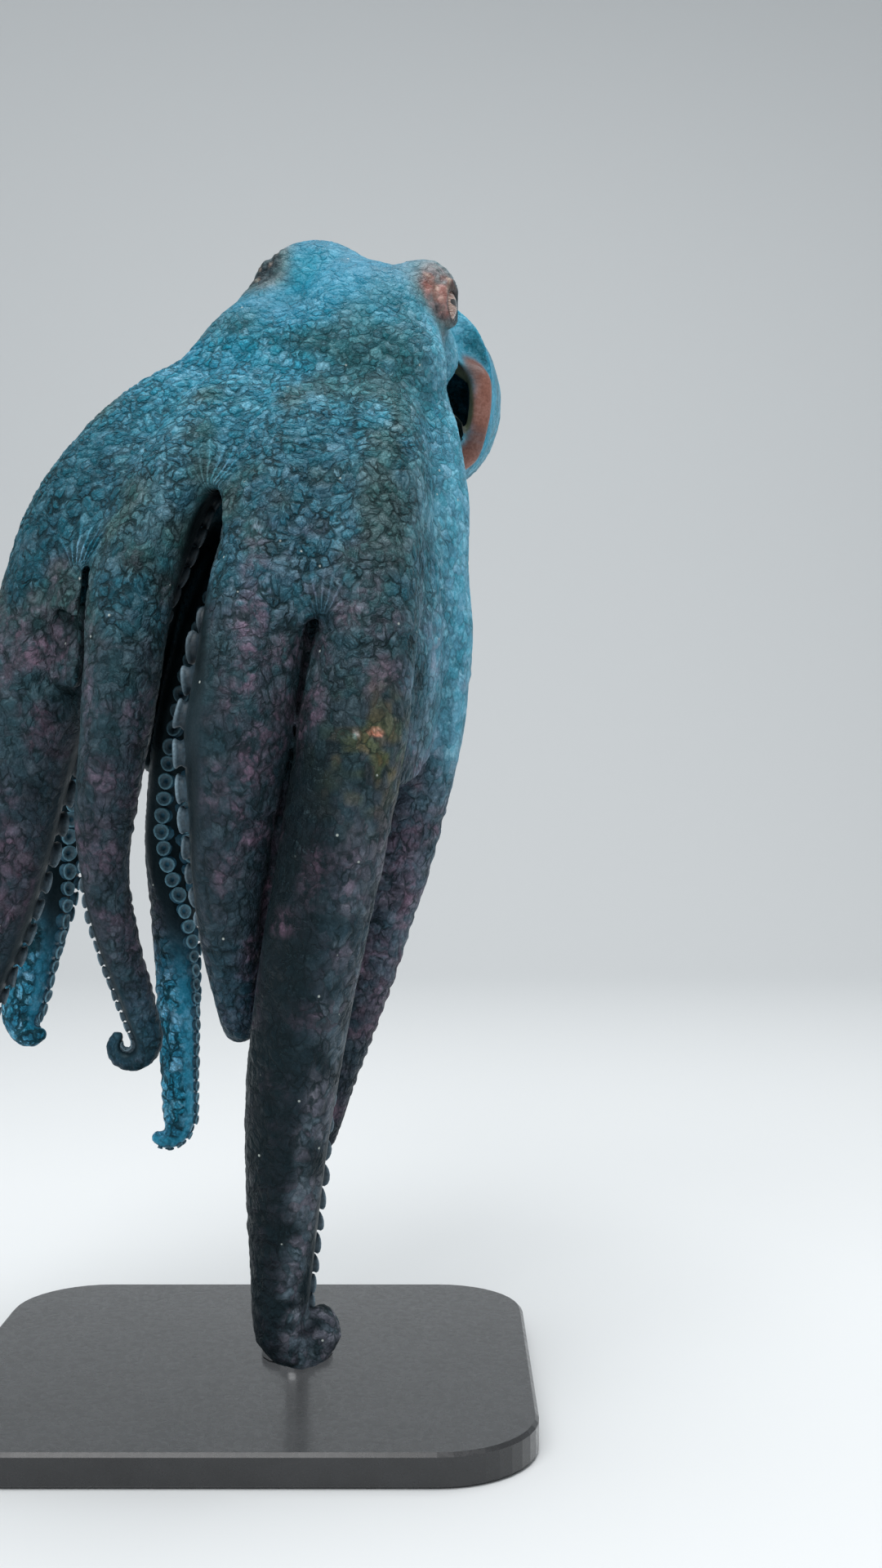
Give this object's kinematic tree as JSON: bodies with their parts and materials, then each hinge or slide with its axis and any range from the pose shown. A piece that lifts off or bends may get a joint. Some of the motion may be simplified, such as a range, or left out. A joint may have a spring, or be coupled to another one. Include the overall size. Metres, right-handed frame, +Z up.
{
  "type": "octopus",
  "caption": "Life-size still model of a common octopus swimming with arms hanging and web spread, held on a flat stand by one rod.",
  "frame": {"origin": "middle of the stand base's underside", "axes": "+Z up; -Y is the way the animal's front faces, its mantle points along +Y; +X is the animal's left"},
  "size_m": [0.2848, 0.3051, 0.5107],
  "materials": {
    "skin": "wet satin, netted with darker grooves",
    "arm_skin": "wet satin, dark brown with pale flecks",
    "funnel_skin": "wet satin",
    "eye": "polished",
    "stand_board": "black lacquer, satin",
    "stand_metal": "brushed"
  },
  "bodies": {
    "root": {"arm_l1_base": "arm_skin", "arm_l1_middle": "arm_skin", "arm_l1_tip": "arm_skin", "arm_l2_base": "arm_skin", "arm_l2_middle": "arm_skin", "arm_l2_tip": "arm_skin", "arm_l3_base": "arm_skin", "arm_l3_middle": "arm_skin", "arm_l3_tip": "arm_skin", "arm_l4_base": "arm_skin", "arm_l4_middle": "arm_skin", "arm_l4_tip": "arm_skin", "arm_r1_base": "arm_skin", "arm_r1_middle": "arm_skin", "arm_r1_tip": "arm_skin", "arm_r2_base": "arm_skin", "arm_r2_middle": "arm_skin", "arm_r2_tip": "arm_skin", "arm_r3_base": "arm_skin", "arm_r3_middle": "arm_skin", "arm_r3_tip": "arm_skin", "arm_r4_base": "arm_skin", "arm_r4_middle": "arm_skin", "arm_r4_tip": "arm_skin", "eye_left": "eye", "eye_right": "eye", "funnel": "funnel_skin", "head": "skin", "mantle": "skin", "stand_base": "stand_board", "stand_flange": "stand_metal", "stand_rod": "stand_metal", "web_l1_l2": "skin", "web_l2_l3": "skin", "web_l3_l4": "skin", "web_r1_l1": "skin", "web_r1_r2": "skin", "web_r2_r3": "skin", "web_r3_r4": "skin", "web_r4_l4": "skin"}
  },
  "joints": []
}
